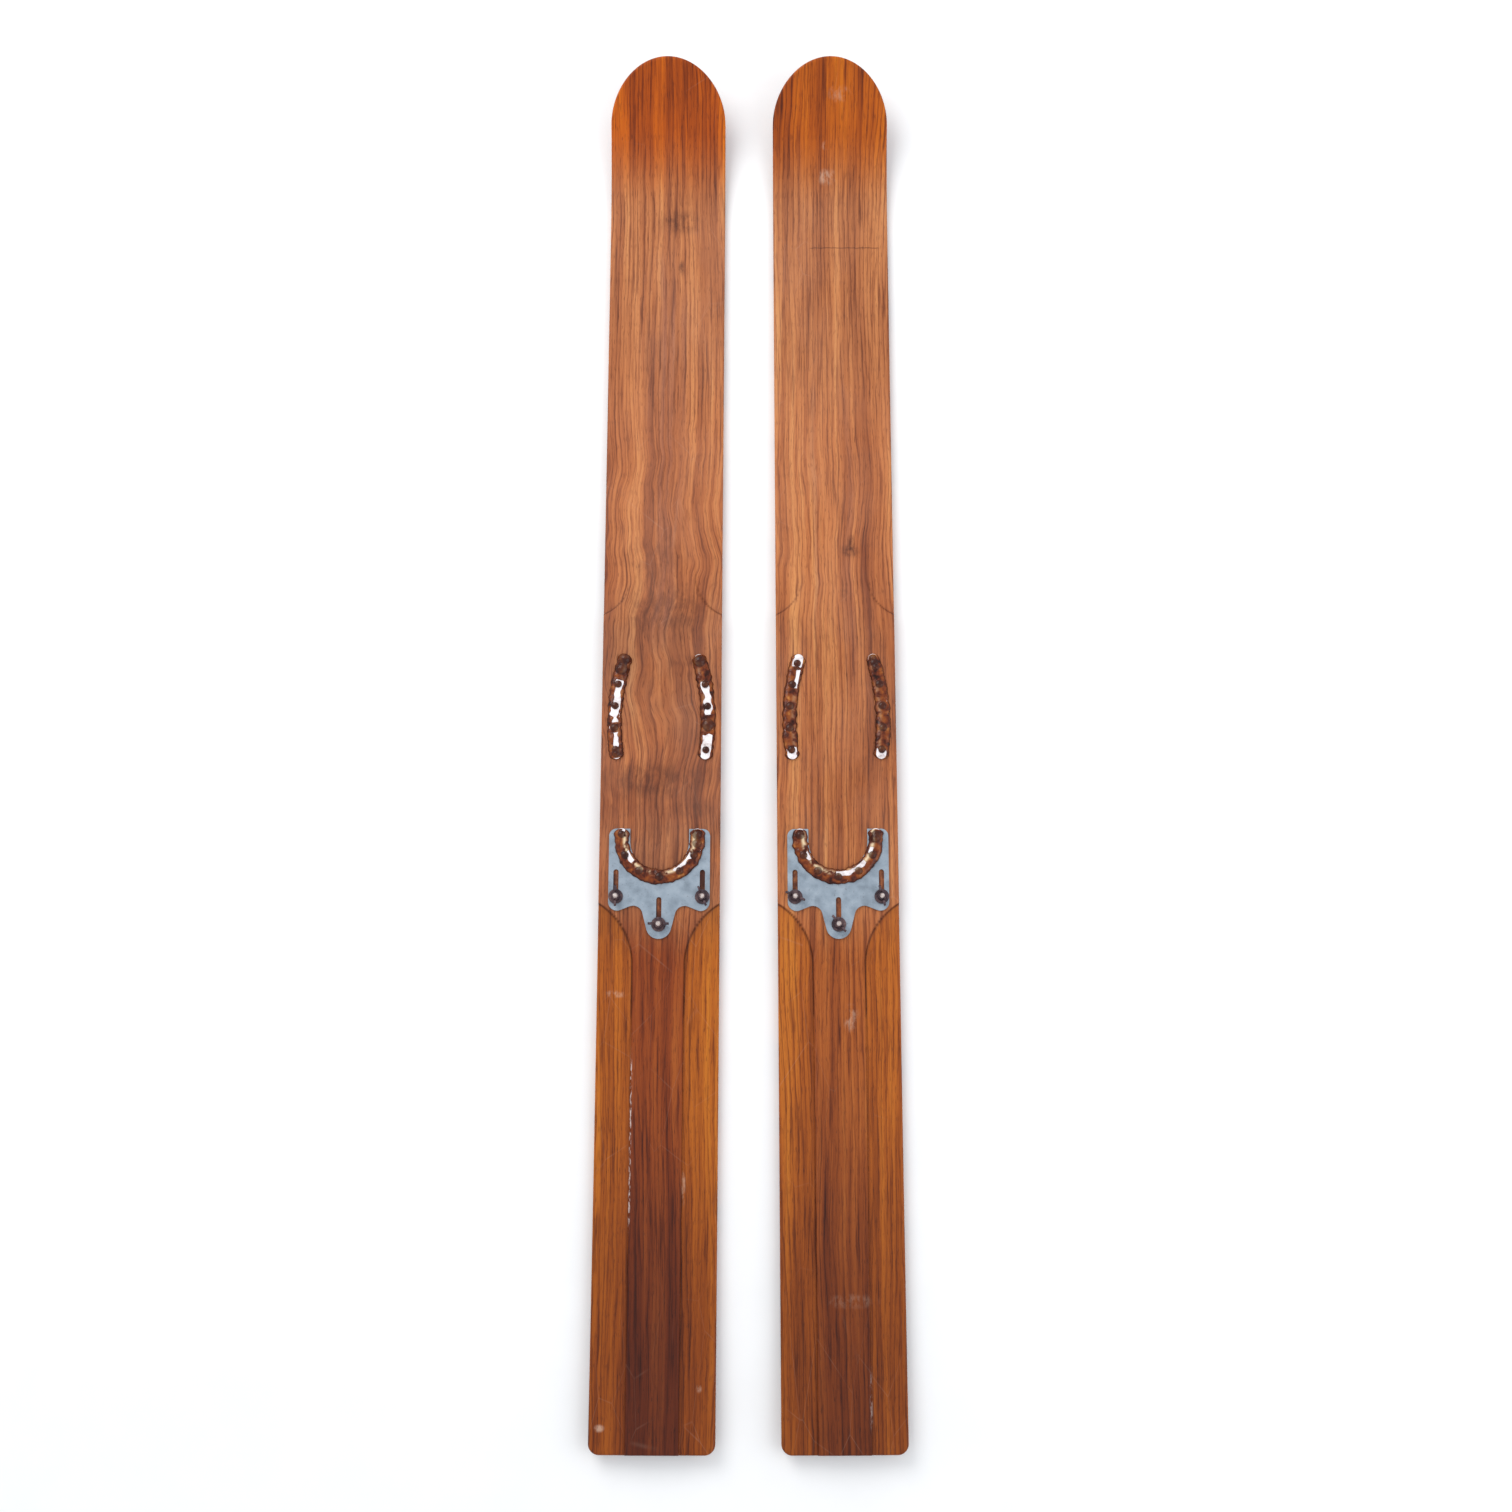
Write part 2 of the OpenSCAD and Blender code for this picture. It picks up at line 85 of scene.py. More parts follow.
AIM_Y, CAMERA_BACK, CAMERA_H, CAMERA_X = -38.5 * MM, 478 * MM, 2581 * MM, 9 * MM
camera = bpy.data.objects.new("camera", bpy.data.cameras.new("camera"))
bpy.context.scene.collection.objects.link(camera)
camera.data.lens = 50
camera.data.sensor_width = 36
camera.data.clip_end = 50
camera_at = (CAMERA_X, AIM_Y - CAMERA_BACK, PLATFORM_H + CAMERA_H)
camera.matrix_world = Matrix.Translation(camera_at) @ look_from(
    camera_at, (CAMERA_X, AIM_Y, PLATFORM_H), (0, 1, 0)
)
bpy.context.scene.camera = camera


def area_light(name, place, target, size, power, colour):
    lamp = bpy.data.lights.new(name, "AREA")
    lamp.shape = "RECTANGLE"
    lamp.size, lamp.size_y = size
    lamp.energy = power
    lamp.color = colour
    o = bpy.data.objects.new(name, lamp)
    bpy.context.scene.collection.objects.link(o)
    o.matrix_world = Matrix.Translation(place) @ look_from(place, target, (0, 1, 0.01))


area_light("key", (-1.6, 1.9, 2.6), (0, 0.1, 0), (2.2, 2.2), 62, (1, 0.985, 0.96))
area_light("fill", (2.4, -0.8, 2.4), (0, 0, 0), (2.5, 2.5), 26, (0.95, 0.98, 1))
bpy.context.scene.view_settings.view_transform = "Standard"
world = bpy.data.worlds.new("studio")
bpy.context.scene.world = world
world.use_nodes = True
world.node_tree.nodes["Background"].inputs["Color"].default_value = (0.93, 0.96, 1, 1)
world.node_tree.nodes["Background"].inputs["Strength"].default_value = 0.85


# ---------- material node helpers ----------

class Nodes:
    """Short calls that add shader nodes to one material and return output sockets."""

    def __init__(self, name):
        self.mat = bpy.data.materials.new(name)
        self.mat.use_nodes = True
        self.tree = self.mat.node_tree
        self.shader = self.tree.nodes["Principled BSDF"]
        self.at = self.tree.nodes.new("ShaderNodeTexCoord").outputs["Object"]
        parts = self.tree.nodes.new("ShaderNodeSeparateXYZ")
        self.tree.links.new(self.at, parts.inputs[0])
        self.x, self.y, self.z = parts.outputs

    def put(self, socket, value):
        if isinstance(value, bpy.types.NodeSocket):
            self.tree.links.new(value, socket)
        elif isinstance(value, (tuple, list)) and len(value) == 3 and socket.type == "RGBA":
            socket.default_value = (*value, 1)
        else:
            socket.default_value = value

    def math(self, operation, a, b=0.0, c=0.0):
        n = self.tree.nodes.new("ShaderNodeMath")
        n.operation = operation
        for socket, value in zip(n.inputs, (a, b, c)):
            self.put(socket, value)
        return n.outputs[0]

    def add(self, a, b):
        return self.math("ADD", a, b)

    def sub(self, a, b):
        return self.math("SUBTRACT", a, b)

    def mul(self, a, b):
        return self.math("MULTIPLY", a, b)

    def madd(self, a, b, c):
        return self.math("MULTIPLY_ADD", a, b, c)

    def vector(self, x, y, z):
        n = self.tree.nodes.new("ShaderNodeCombineXYZ")
        for socket, value in zip(n.inputs, (x, y, z)):
            self.put(socket, value)
        return n.outputs[0]

    def stretched(self, sx, sy, sz, seed):
        """The coordinates scaled per axis and moved by a seed."""
        return self.vector(
            self.madd(self.x, sx, seed), self.madd(self.y, sy, seed * 1.7), self.mul(self.z, sz)
        )

    def noise(self, at, scale, detail, rough, distort=0.0):
        n = self.tree.nodes.new("ShaderNodeTexNoise")
        self.put(n.inputs["Vector"], at)
        n.inputs["Scale"].default_value = scale
        n.inputs["Detail"].default_value = detail
        n.inputs["Roughness"].default_value = rough
        n.inputs["Distortion"].default_value = distort
        return n.outputs["Fac"]

    def cells(self, at, scale, feature):
        n = self.tree.nodes.new("ShaderNodeTexVoronoi")
        n.feature = feature
        self.put(n.inputs["Vector"], at)
        n.inputs["Scale"].default_value = scale
        return n.outputs["Distance"]

    def attribute(self, name):
        n = self.tree.nodes.new("ShaderNodeAttribute")
        n.attribute_name = name
        return n.outputs["Fac"]

    def facing_up(self):
        """1 on faces that look up, 0 on those that look down."""
        n = self.tree.nodes.new("ShaderNodeSeparateXYZ")
        self.put(n.inputs[0], self.tree.nodes.new("ShaderNodeNewGeometry").outputs["True Normal"])
        return self.step(n.outputs[2], -0.2, 0.2)

    def step(self, value, zero_at, one_at):
        """Smooth step from 0 at zero_at to 1 at one_at, which may be the smaller one."""
        n = self.tree.nodes.new("ShaderNodeMapRange")
        n.interpolation_type = "SMOOTHSTEP"
        self.put(n.inputs["Value"], value)
        n.inputs["From Min"].default_value = min(zero_at, one_at)
        n.inputs["From Max"].default_value = max(zero_at, one_at)
        n.inputs["To Min"].default_value = float(zero_at > one_at)
        n.inputs["To Max"].default_value = float(zero_at < one_at)
        return n.outputs["Result"]

    def mix(self, share, a, b, blend="MIX"):
        n = self.tree.nodes.new("ShaderNodeMix")
        n.data_type = "RGBA"
        n.blend_type = blend
        self.put(n.inputs[0], share)
        self.put(n.inputs[6], a)
        self.put(n.inputs[7], b)
        return n.outputs[2]

    def ramp(self, value, *stops):
        n = self.tree.nodes.new("ShaderNodeValToRGB")
        marks = n.color_ramp.elements
        while len(marks) < len(stops):
            marks.new(0.5)
        for mark, (place, colour) in zip(marks, stops):
            mark.position = place
            mark.color = (*colour, 1)
        self.put(n.inputs[0], value)
        return n.outputs[0]

    def spot(self, x, y, rx, ry, soft):
        """1 inside an ellipse around (x, y), fading out at its rim."""
        dx = self.math("DIVIDE", self.sub(self.x, x), rx)
        dy = self.math("DIVIDE", self.sub(self.y, y), ry)
        d = self.math("SQRT", self.add(self.mul(dx, dx), self.mul(dy, dy)))
        return self.step(d, 1 + soft, 1 - soft)

    def bump(self, height, distance, strength):
        n = self.tree.nodes.new("ShaderNodeBump")
        n.inputs["Strength"].default_value = strength
        n.inputs["Distance"].default_value = distance
        self.put(n.inputs["Height"], height)
        return n.outputs[0]

    def finish(self, colour, rough, normal=None, metal=0.0, coat=0.0, specular=0.5):
        self.put(self.shader.inputs["Base Color"], colour)
        self.put(self.shader.inputs["Roughness"], rough)
        self.put(self.shader.inputs["Metallic"], metal)
        self.shader.inputs["Coat Weight"].default_value = coat
        self.shader.inputs["Coat Roughness"].default_value = 0.12
        self.shader.inputs["Specular IOR Level"].default_value = specular
        if normal is not None:
            self.put(self.shader.inputs["Normal"], normal)
        return self.mat


# ---------- wood ----------

# where each change along the ski sets in: y at which its share is 0, and y at which it is 1
SETS_IN = {
    "tip": (0.690, 0.800),
    "front": (0.36, 0.52),
    "land": (-0.15, -0.20),
    "rib": (-0.215, -0.30),
    "far": (-0.36, -0.80),
    "platform_front": (0.205, 0.11),
    "platform_rear": (-0.30, -0.20),
    "middle_front": (0.02, -0.03),
    "middle_rear": (-0.15, -0.10),
    # the stretch where the painted reflection in the varnish lies
    "glare_front": (0.76, 0.66),
    "glare_rear": (-0.30, -0.12),
}
# painted shade on the wood that shows through the slots of the heel plate: x, y, rx, ry, strength
SLOT_SHADE = [(x, y + 19.5 * MM, 6 * MM, 26 * MM, 1) for x, y in STUDS_AT]


def between(n, region):
    """1 along a stretch of the ski that sets in at its rear and front end."""
    front, rear = SETS_IN[region + "_front"], SETS_IN[region + "_rear"]
    return n.mul(n.step(n.y, *front), n.step(n.y, *rear))


def grain_across(n, seed, waves):
    """x with the sideways drift of the grain. waves: (y, reach, strength) where it swerves."""
    drift = n.noise(n.stretched(6, 1.4, 1, seed), 1, 2, 0.5)
    waver = n.noise(n.stretched(34, 19, 3, seed + 3), 1, 3, 0.55)
    swerve = n.noise(n.stretched(7, 6.5, 2, seed + 5), 1, 3, 0.45)
    across = n.madd(n.sub(drift, 0.5), 0.030, n.x)
    across = n.madd(n.sub(waver, 0.5), 0.0034, across)
    for y, reach, strength in waves:
        near = n.step(n.math("ABSOLUTE", n.sub(n.y, y)), reach, reach * 0.25)
        across = n.madd(n.mul(n.sub(swerve, 0.5), near), strength, across)
    return across


def region_tints(n, colour, tints, ragged_y, seed):
    """Each region of the board gets its share of the base colour; the front's lighter, greyer share
    is painted reflection.
    """
    def tint(share, region, colour):
        return n.mix(share, colour, tints[region], "MULTIPLY")

    tip = n.step(ragged_y, *SETS_IN["tip"])
    # the front tint lightens and greys the board: a painted reflection of the light in the varnish;
    # the deeper tip tint and the darker far-tail tints are the wood without that painted reflection
    colour = tint(n.mul(n.sub(1.0, tip), n.step(ragged_y, *SETS_IN["front"])), "front", colour)
    colour = tint(tip, "tip", colour)
    land = n.mul(n.attribute("land"), n.step(n.y, *SETS_IN["land"]))
    rib = n.mul(n.step(ragged_y, *SETS_IN["rib"]), n.sub(1.0, land))
    far = n.step(ragged_y, *SETS_IN["far"])
    colour = tint(land, "land", colour)
    colour = tint(n.mul(land, far), "land_far", colour)
    colour = tint(rib, "rib", colour)
    colour = tint(n.mul(rib, far), "rib_far", colour)
    worn = n.noise(n.stretched(15, 8, 5, seed + 9), 1, 4, 0.6)
    on_platform = between(n, "platform")
    colour = tint(n.mul(on_platform, n.step(worn, 0.25, 0.70)), "platform", colour)
    middle = between(n, "middle")
    return tint(n.mul(middle, n.step(worn, 0.30, 0.62)), "middle", colour)


def marks(n, colour, stains, pale, crack, ragged, seed):
    """Stains, knots and pale marks on the upper side, painted shade on the wood under the heel
    plate's slots, and the crack.
    """
    upward = n.facing_up()
    # the stains, then the painted shade in the heel plate's slots, darken the wood alike
    for x, y, rx, ry, strength in stains + SLOT_SHADE:
        share = n.mul(n.mul(n.spot(x, y, rx, ry, 0.6), upward), n.step(ragged, 0.3, 0.62))
        colour = n.mix(n.mul(share, strength), colour, (0.22, 0.15, 0.20), "MULTIPLY")
    for x, y, rx, ry, strength in pale:
        share = n.mul(n.mul(n.spot(x, y, rx, ry, 0.5), upward), n.step(ragged, 0.40, 0.64))
        colour = n.mix(n.mul(share, strength), colour, (0.66, 0.46, 0.34))
    if crack:
        y, x0, x1 = crack
        wobble = n.madd(n.sub(n.noise(n.stretched(60, 0, 0, seed), 1, 3, 0.6), 0.5), 0.005, n.y)
        line = n.step(n.math("ABSOLUTE", n.sub(wobble, y)), 0.0010, 0.0003)
        line = n.mul(line, n.mul(n.step(n.x, x0, x0 + 0.006), n.step(n.x, x1, x1 - 0.006)))
        colour = n.mix(n.mul(line, 0.7), colour, (0.25, 0.18, 0.18), "MULTIPLY")
    return colour


def wood(name, seed, waves, streaks, stains, pale, tints, crack=None):
    """Old varnished board, with the grain along y. streaks: (x, width, y0, y1, strength) dark
    bands along the grain. stains and pale: ellipses (x, y, rx, ry, strength) of dark and of
    whitish marks. tints: colour of each region as a share of the base colour. crack: (y, x0, x1)
    of a fine line across the grain."""
    n = Nodes(name)
    across = grain_across(n, seed, waves)

    def along(width, length, extra, detail, rough):
        """Noise whose cells are width wide and length long, in metres."""
        at = n.vector(
            n.madd(across, 1 / width, seed + extra), n.madd(n.y, 1 / length, extra), n.mul(n.z, 5)
        )
        return n.noise(at, 1, detail, rough)

    broad = along(0.032, 0.9, 1.3, 2, 0.5)
    bands = along(0.010, 0.45, 4.1, 3, 0.6)
    lines = along(0.0034, 0.12, 7.7, 3, 0.62)
    hairs = along(0.0015, 0.040, 11.9, 2, 0.6)
    pores = along(0.0008, 0.012, 15.1, 1, 0.5)
    tone = n.madd(n.sub(broad, 0.5), 1.1, 0.5)
    tone = n.madd(n.sub(bands, 0.5), 1.2, tone)
    tone = n.madd(n.sub(lines, 0.5), 0.55, tone)
    colour = n.ramp(
        tone,
        (0.08, (0.205, 0.050, 0.018)),
        (0.40, (0.372, 0.106, 0.031)),
        (0.62, (0.500, 0.164, 0.050)),
        (0.95, (0.640, 0.262, 0.088)),
    )
    # growth rings: level lines of a long smooth field, dark at one side of each ring
    field = along(0.055, 0.60, 21.0, 1, 0.4)
    phase = n.madd(field, 6.0, n.mul(across, 1 / 0.0062))
    ring = n.math("FRACT", n.madd(n.sub(lines, 0.5), 0.9, phase))
    late = n.mul(n.step(ring, 0.58, 0.93), n.step(ring, 1.0, 0.94))
    weight = n.step(along(0.022, 0.25, 31.0, 2, 0.5), 0.36, 0.62)
    ring_dark = n.mul(late, n.madd(weight, 0.60, 0.22))
    colour = n.mix(ring_dark, colour, (0.40, 0.29, 0.30), "MULTIPLY")
    ragged_y = n.madd(n.sub(bands, 0.5), 0.05, n.y)
    colour = region_tints(n, colour, tints, ragged_y, seed)
    # dark mineral streaks along the grain
    for x, width, y0, y1, strength in streaks:
        inside = n.step(n.math("ABSOLUTE", n.sub(across, x)), width, width * 0.3)
        span = n.mul(n.step(n.y, y0, y0 + 0.07), n.step(n.y, y1, y1 - 0.07))
        share = n.mul(n.mul(n.mul(inside, span), strength), n.step(bands, 0.36, 0.60))
        colour = n.mix(share, colour, (0.66, 0.62, 0.88), "MULTIPLY")
    # fine dark grain lines and pores
    pore = n.step(pores, 0.38, 0.26)
    colour = n.mix(n.mul(n.step(lines, 0.46, 0.32), 0.75), colour, (0.42, 0.32, 0.34), "MULTIPLY")
    colour = n.mix(n.mul(n.step(hairs, 0.46, 0.32), 0.55), colour, (0.46, 0.36, 0.36), "MULTIPLY")
    colour = n.mix(n.mul(pore, 0.6), colour, (0.28, 0.20, 0.20), "MULTIPLY")
    ragged = n.noise(n.stretched(120, 60, 40, seed + 21), 1, 4, 0.65)
    colour = marks(n, colour, stains, pale, crack, ragged, seed)
    # painted reflection: a whitish sheen of light in the varnish over the front and the platform,
    # painted into the colour
    cloud = n.noise(n.stretched(11, 5, 5, seed + 31), 1, 4, 0.6)
    glare_share = between(n, "glare")
    colour = n.mix(n.mul(n.mul(glare_share, 0.14), n.step(cloud, 0.3, 0.7)), colour, (0.56, 0.28, 0.18))
    # darkening along the foot of the step lines, and worn arrises
    dirt = n.mul(n.attribute("dirt"), 0.85)
    colour = n.mix(dirt, colour, (0.20, 0.12, 0.10), "MULTIPLY")
    flecks = n.step(n.noise(n.stretched(500, 130, 60, seed), 1, 3, 0.6), 0.46, 0.60)
    scuff = n.mul(n.attribute("wear"), flecks)
    colour = n.mix(scuff, colour, (0.74, 0.62, 0.58))
    # scratches in all directions
    scratch = n.cells(n.stretched(26, 9, 10, seed + 41), 1, "DISTANCE_TO_EDGE")
    fine_scratch = n.mul(n.step(scratch, 0.012, 0.0), n.step(cloud, 0.45, 0.7))
    colour = n.mix(n.mul(fine_scratch, 0.10), colour, (0.60, 0.38, 0.28))
    rough = n.madd(n.sub(cloud, 0.5), 0.25, 0.48)
    rough = n.madd(glare_share, 0.10, rough)
    rough = n.madd(scuff, 0.2, rough)
    height = n.madd(n.sub(hairs, 0.5), 0.5, n.mul(n.sub(lines, 0.5), 0.8))
    height = n.madd(pore, -0.6, height)
    height = n.madd(ring_dark, -0.25, height)
    height = n.madd(ragged, 0.06, height)
    height = n.madd(fine_scratch, -0.2, height)
    return n.finish(colour, rough, n.bump(height, 0.00035, 0.7), specular=0.22)


wood_mats = {
    "left": wood(
        "wood_left",
        2.0,
        waves=[(0.20, 0.28, 0.055), (-0.03, 0.15, 0.030)],
        streaks=[
            (0.002, 0.014, 0.08, 0.66, 1.0),
            (0.020, 0.006, 0.22, 0.60, 0.8),
            (-0.018, 0.005, 0.15, 0.50, 0.6),
        ],
        stains=[
            (0.016, 0.675, 0.022, 0.014, 0.70),
            (0.018, 0.612, 0.004, 0.009, 0.85),
            (0.002, 0.150, 0.050, 0.030, 0.55),
            (-0.010, 0.215, 0.034, 0.030, 0.35),
            (-0.005, -0.070, 0.056, 0.020, 0.60),
            (0.040, -0.105, 0.022, 0.012, 0.45),
            (0.030, 0.083, 0.018, 0.007, 0.40),
        ],
        pale=[
            (-0.052, -0.335, 0.012, 0.004, 0.35),
            (0.034, -0.565, 0.002, 0.018, 0.40),
            (-0.062, -0.845, 0.005, 0.004, 0.5),
            (0.055, -0.800, 0.003, 0.004, 0.4),
        ],
        tints={
            "tip": (0.98, 0.58, 0.03),
            # front: painted reflection in the varnish, lighter and greyer than the wood
            "front": (0.99, 1.06, 1.15),
            "platform": (0.72, 0.78, 0.98),
            "middle": (0.80, 0.68, 0.62),
            "land": (0.90, 0.72, 0.16),
            "land_far": (0.64, 0.56, 0.50),
            "rib": (0.56, 0.34, 0.14),
            "rib_far": (0.44, 0.38, 0.50),
        },
    ),
    "right": wood(
        "wood_right",
        13.0,
        waves=[(0.25, 0.16, 0.030)],
        streaks=[(0.016, 0.010, 0.02, 0.50, 0.7), (-0.025, 0.006, 0.10, 0.50, 0.5)],
        stains=[
            (0.020, 0.228, 0.010, 0.007, 0.85),
            (0.022, 0.238, 0.004, 0.009, 0.9),
            (0.012, 0.172, 0.004, 0.006, 0.6),
            (0.042, -0.790, 0.004, 0.004, 0.9),
        ],
        pale=[
            (-0.004, 0.736, 0.010, 0.009, 0.42),
            (-0.006, 0.775, 0.004, 0.005, 0.36),
            (0.012, 0.835, 0.012, 0.008, 0.25),
            (0.014, -0.365, 0.008, 0.014, 0.32),
            (0.010, -0.700, 0.026, 0.007, 0.14),
        ],
        tints={
            "tip": (0.92, 0.60, 0.05),
            # front: painted reflection in the varnish, lighter and greyer than the wood
            "front": (1.00, 1.10, 1.20),
            "platform": (0.88, 0.89, 0.86),
            "middle": (0.93, 0.89, 0.84),
            "land": (0.86, 0.68, 0.20),
            "land_far": (0.66, 0.60, 0.45),
            "rib": (0.76, 0.60, 0.32),
            "rib_far": (0.48, 0.38, 0.28),
        },
        crack=(0.640, -0.030, 0.066),
    ),
}


# ---------- board mesh ----------

def smooth01(t):
    t = np.clip(t, 0, 1)
    return t * t * (3 - 2 * t)


def arc_radius(run, rise):
    """Radius of an arc that starts level and rises by rise over a run."""
    return (run**2 + rise**2) / (2 * rise)


def arc_rise(run, radius):
    """How far that arc has risen after a run, 0 before it starts."""
    return radius - np.sqrt(radius**2 - np.maximum(run, 0) ** 2)


def base_z(y):
    """Height of the base above the floor."""
    tail = arc_rise(ROCKER_Y - y, arc_radius(HALF_L + ROCKER_Y, ROCKER_RISE))
    return tail + arc_rise(y - BEND_Y, BEND_R)


def land_z(y):
    """Height of the lower top surface."""
    tail = arc_rise(ROCKER_Y - y, arc_radius(HALF_L + ROCKER_Y, TOP_RISE))
    front = np.clip((y - FADE_START_Y) / (BEND_Y - FADE_START_Y), 0, 1) * (TIP_H - LAND_H)
    return LAND_H + tail + front + arc_rise(y - BEND_Y, BEND_R - TIP_H)


def platform_fade(y):
    """1 along the platform and behind it, falling to 0 where its front end fades out."""
    return 1 - np.clip((y - FADE_START_Y) / (FADE_END_Y - FADE_START_Y), 0, 1)


def rib_distance(x, y):
    """Signed distance to the outline of the raised platform and rib, negative inside."""
    ax = np.abs(x)

    def flare(rib_half, edge_y, rib_y):
        r = arc_radius(rib_y - edge_y, HALF_W - rib_half)
        return r - np.hypot(ax - rib_half - r, y - rib_y)

    rear = np.where(y < REAR_RIB_Y, ax - RIB_HALF, flare(RIB_HALF, REAR_EDGE_Y, REAR_RIB_Y))
    front = np.where(
        y > FRONT_RIB_Y, ax - FRONT_RIB_HALF, flare(FRONT_RIB_HALF, FRONT_EDGE_Y, FRONT_RIB_Y)
    )
    return np.where(y < MIDDLE_Y, rear, front)


def raised_share(x, y):
    """1 on the platform and rib, 0 on the lands, with a soft arris and foot."""
    return 1 - smooth01((rib_distance(x, y) + 0.6 * MM) / (1.6 * MM))


def top_z(x, y):
    return land_z(y) + (PLATFORM_H - LAND_H) * platform_fade(y) * raised_share(x, y)


def on_ski(name, mesh, side):
    """Object of a mesh that is given in the frame of one ski."""
    o = bpy.data.objects.new(name, mesh)
    bpy.context.scene.collection.objects.link(o)
    o.matrix_world = ski_frame(side)
    return o


def write_attributes(mesh, **values):
    for label, numbers in values.items():
        layer = mesh.attributes.new(label, "FLOAT", "POINT")
        layer.data.foreach_set("value", numbers.astype(np.float32))


TAIL_ROWS, TIP_ROWS = 8, 25
GRID_HALF_W = HALF_W - EDGE_R
TIP_Y = HALF_L - HALF_W


def grid_columns():
    """x of the columns, close together at the side edges and at the rib's edges."""
    rim = GRID_HALF_W * np.cos(np.radians(np.linspace(0, 52, 18)))
    fine = np.arange(RIB_HALF - 2.8 * MM, RIB_HALF + 2.9 * MM, 0.4 * MM)
    coarse = np.arange(0, rim[-1] - 0.5 * MM, 1.6 * MM)
    coarse = coarse[(coarse < fine[0] - 0.6 * MM) | (coarse > fine[-1] + 0.6 * MM)]
    half = np.unique(np.round(np.concatenate([rim, fine, coarse]), 7))
    return np.concatenate([-half[:0:-1], half])


def grid_rows(xs):
    """y of every grid point, row by row. The rows at both ends bend to the round outline."""
    tail_r = TAIL_R - EDGE_R
    tail_y = tail_r + EDGE_R - HALF_L
    corner = np.maximum(np.abs(xs) - (GRID_HALF_W - tail_r), 0)
    tail_out = -np.sqrt(tail_r**2 - corner**2)
    tip_out = np.sqrt(np.maximum(GRID_HALF_W**2 - xs**2, 0))
    stretches = [
        (tail_y, REAR_RIB_Y, 8 * MM),
        (REAR_RIB_Y - 4 * MM, REAR_EDGE_Y + 4 * MM, 0.7 * MM),
        (REAR_EDGE_Y + 4 * MM, FRONT_EDGE_Y - 4 * MM, 9 * MM),
        (FRONT_EDGE_Y - 4 * MM, FRONT_RIB_Y + 28 * MM, 0.8 * MM),
        (FRONT_RIB_Y + 30 * MM, BEND_Y, 10 * MM),
        (BEND_Y, TIP_Y, 5 * MM),
    ]
    body = np.concatenate([np.arange(*stretch) for stretch in stretches] + [[TIP_Y]])
    rows = [tail_y + share * tail_out for share in np.linspace(1, 0, TAIL_ROWS + 1)[:-1]]
    rows += [np.full_like(xs, y) for y in np.unique(np.round(body, 6))]
    rows += [TIP_Y + share * tip_out for share in np.linspace(0, 1, TIP_ROWS + 1)[1:]]
    return np.array(rows)


def quads(index):
    """Faces of a grid of point numbers, which look up if the rows run to +y and columns to +x."""
    corners = index[:-1, :-1], index[:-1, 1:], index[1:, 1:], index[1:, :-1]
    return np.stack(corners, -1).reshape(-1, 4)


def unit(v):
    return v / np.linalg.norm(v, axis=1)[:, None]


def rim_rings(ring):
    """Rings of points that round the top edge off and come in again at the base."""
    flat = ring[:, :2]
    tangent = unit(unit(np.roll(flat, -1, 0) - flat) + unit(flat - np.roll(flat, 1, 0)))
    outward = np.stack([tangent[:, 1], -tangent[:, 0]], -1) * EDGE_R
    floor = base_z(flat[:, 1] + outward[:, 1])
    rings = []
    for angle in np.radians([18, 36, 54, 72, 90]):
        drop = EDGE_R * (1 - np.cos(angle))
        rings.append(np.column_stack([flat + outward * np.sin(angle), ring[:, 2] - drop]))
    for angle in np.radians([0, 18, 36, 54, 72, 90]):
        at = flat + outward * np.cos(angle)
        height = np.maximum(floor + EDGE_R * (1 - np.sin(angle)), base_z(at[:, 1]))
        rings.append(np.column_stack([at, height]))
    return rings


def rungs(index, loop, low, first, last):
    """Faces underneath, which join facing points of the lowest ring like the rungs of a ladder."""
    middle = index.shape[1] // 2
    left = [*index[0, middle::-1], *index[first + 1 : last + 1, 0], *index[-1, 1 : middle + 1]]
    right = [*index[0, middle:], *index[first + 1 : last + 1, -1], *index[-1, -2 : middle - 1 : -1]]
    place_in_loop = {v: k for k, v in enumerate(loop)}
    a = low[[place_in_loop[v] for v in left]]
    b = low[[place_in_loop[v] for v in right]]
    return np.stack([a[:-1], a[1:], b[1:], b[:-1]], -1)


def without_spares(points, faces):
    """Points and faces without the unused points and the faces that shrank to a line."""
    used = np.unique(faces)
    renumber = np.full(len(points), -1)
    renumber[used] = np.arange(len(used))
    trimmed = [list(dict.fromkeys(face)) for face in renumber[faces].tolist()]
    return points[used], [face for face in trimmed if len(face) > 2]


